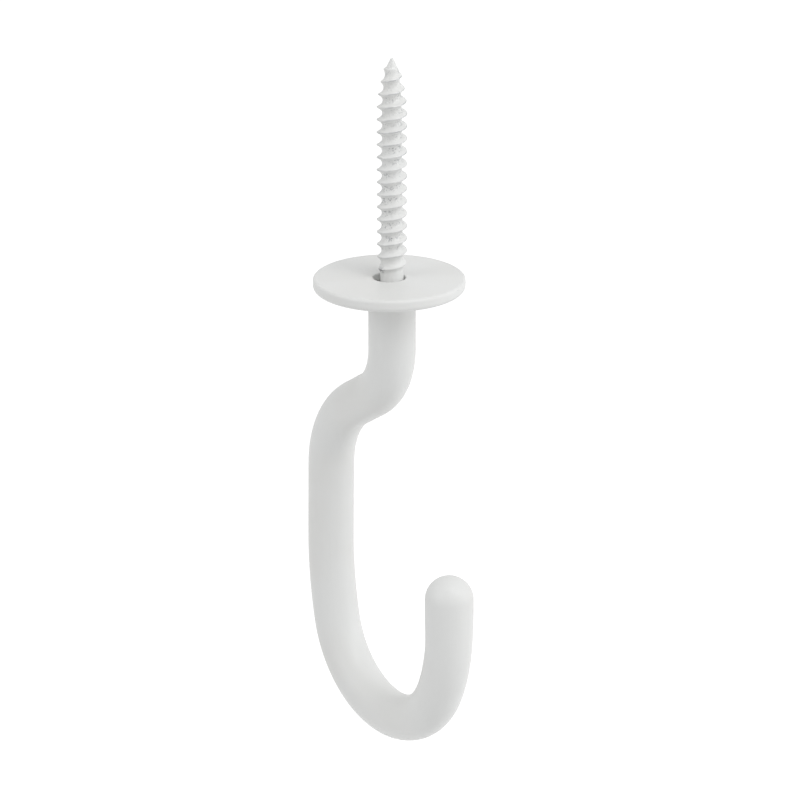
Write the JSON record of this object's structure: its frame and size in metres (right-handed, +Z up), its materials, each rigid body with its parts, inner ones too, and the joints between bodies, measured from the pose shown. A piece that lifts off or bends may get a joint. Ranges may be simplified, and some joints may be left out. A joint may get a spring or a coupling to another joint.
{
  "type": "screw hook",
  "caption": "Coated round-bar hook with an offset shank, a deep bowl and a domed tip, on a wood screw with a loose round ceiling plate.",
  "frame": {"origin": "on the screw's axis, in the plane of the plate's upper face, where it meets the ceiling", "axes": "+Z up along the screw towards its point; the hook is bent in the XZ plane with its tip towards +X"},
  "size_m": [0.0507, 0.0303, 0.1444],
  "materials": {
    "hook_coating": "satin white coating, thin on the thread",
    "plate_coating": "satin white coating"
  },
  "bodies": {
    "root": {"hook": "hook_coating", "ceiling_plate": "plate_coating"}
  },
  "joints": []
}
